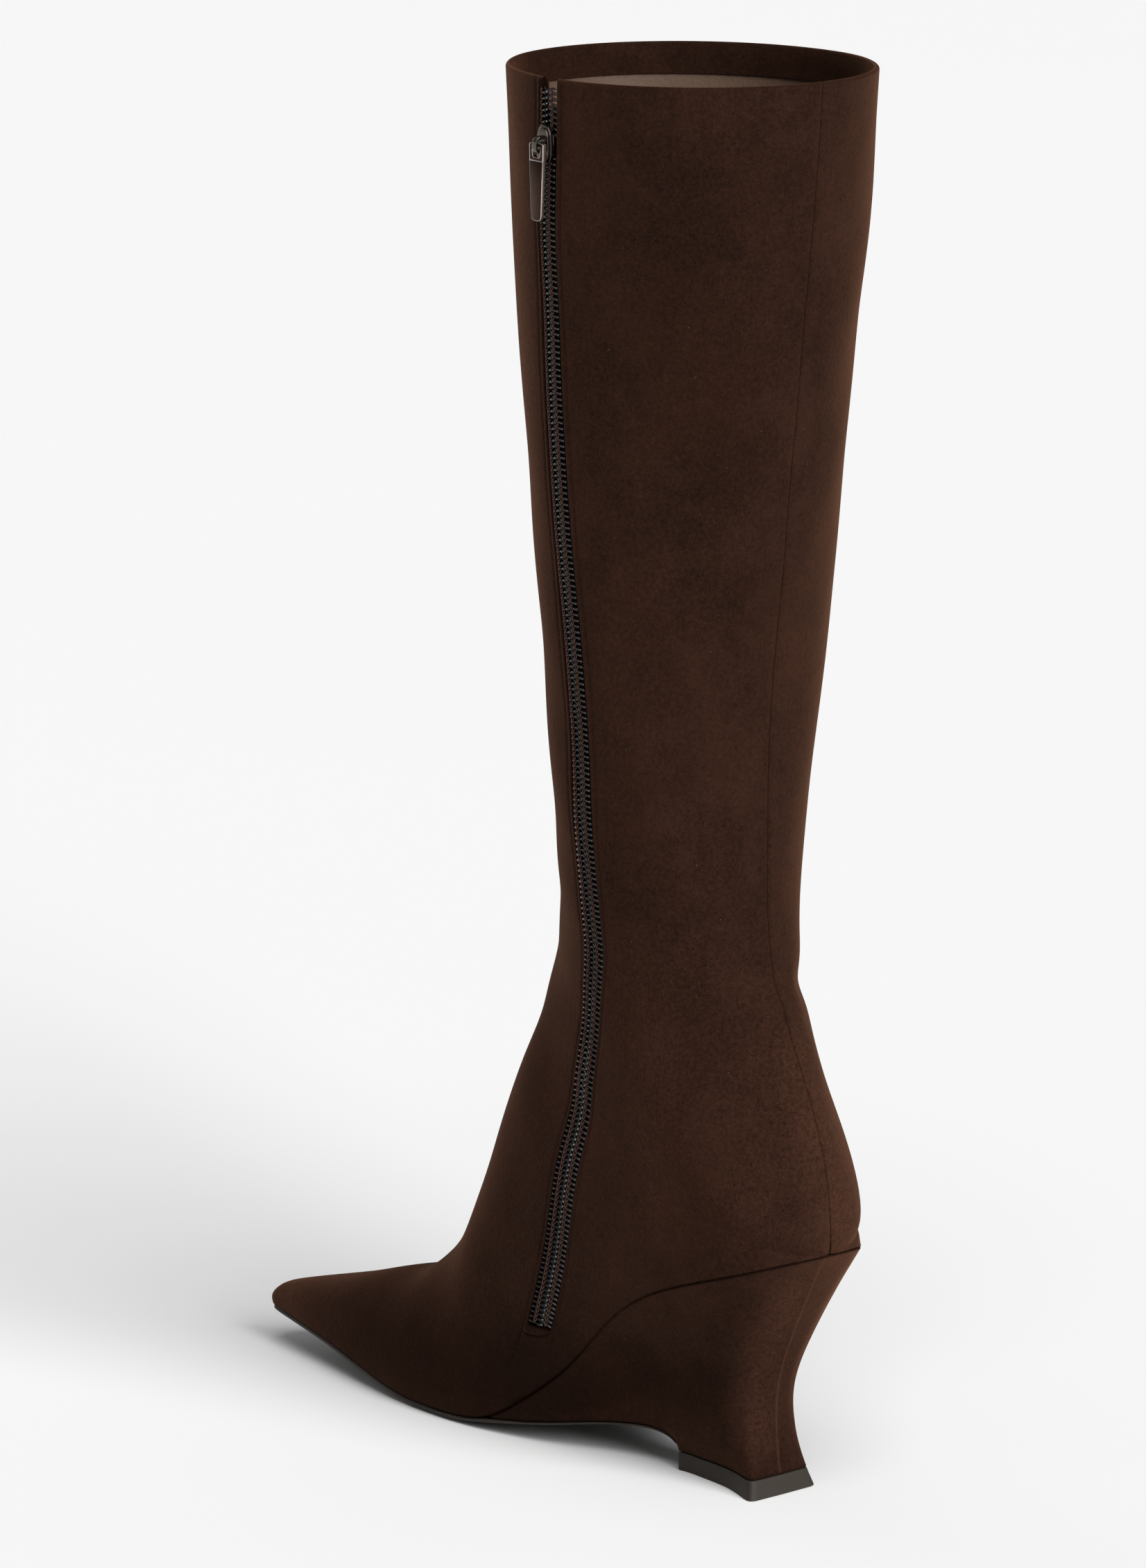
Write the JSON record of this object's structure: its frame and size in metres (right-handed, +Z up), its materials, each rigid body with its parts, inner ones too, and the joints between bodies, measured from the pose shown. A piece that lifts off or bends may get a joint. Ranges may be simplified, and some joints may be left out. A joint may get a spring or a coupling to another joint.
{
  "type": "knee-high wedge boot",
  "caption": "Knee-high right boot in suede, with a pointed toe, a curved covered wedge heel and a full-length zip on its inner side.",
  "frame": {"origin": "on the floor, under the middle of the boot's box", "axes": "-Y towards the toe, +Z up the shaft, +X the medial side, where the zip is"},
  "size_m": [0.1141, 0.2556, 0.4409],
  "materials": {
    "suede": "brushed dark brown suede, matte",
    "rubber": "dark taupe-black, matte",
    "lining": "smooth brown lining leather",
    "zip_tape": "dark brown woven tape",
    "zip_coil": "dark glossy nylon coil",
    "dark_metal": "dark gunmetal, satin"
  },
  "bodies": {
    "boot": {"upper": "suede", "wedge_heel": "suede", "outsole": "rubber", "heel_tap": "rubber", "insole": "lining", "zip_tape": "zip_tape", "zip_chain": "zip_coil", "zip_slider": "dark_metal"},
    "pull_tab": {"zip_pull": "dark_metal"}
  },
  "joints": [
    {"name": "pull_tab_hinge", "type": "hinge", "parent": "boot", "child": "pull_tab", "pos_m": [0.05474, 0.05784, 0.42074], "axis": [-0.0697, -0.9976, 0], "range_deg": [0, 165]}
  ]
}
